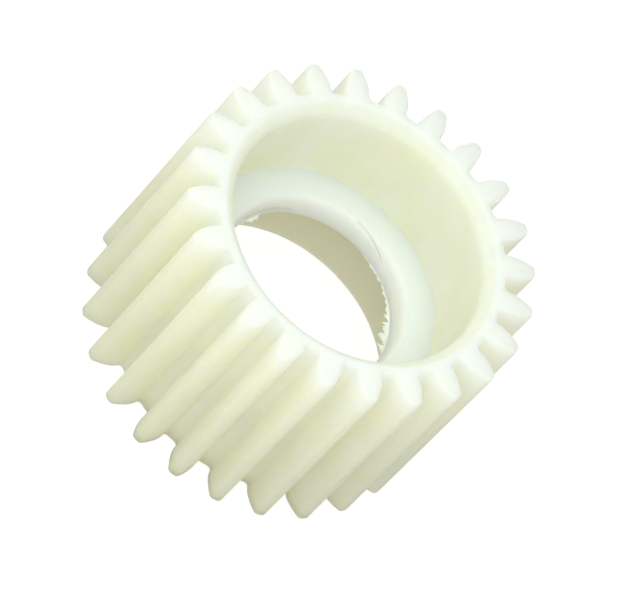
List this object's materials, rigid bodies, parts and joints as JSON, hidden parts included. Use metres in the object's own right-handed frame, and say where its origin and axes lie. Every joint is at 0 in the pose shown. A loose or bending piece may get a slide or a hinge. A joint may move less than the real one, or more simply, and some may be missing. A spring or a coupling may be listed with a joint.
{
  "type": "spur gear",
  "caption": "Moulded nylon spur gear with full-depth rounded teeth, a bearing seat with a lead-in in each end, and a thin web with a round hole between the seats.",
  "frame": {"origin": "centre of the lower end face, on the gear's axis", "axes": "+Z along the gear's axis, up from the face it stands on; +X through the middle of a tooth"},
  "size_m": [0.039, 0.039, 0.0255],
  "materials": {
    "natural_nylon": "as moulded, unpigmented, translucent"
  },
  "bodies": {
    "root": {"gear": "natural_nylon"}
  },
  "joints": []
}
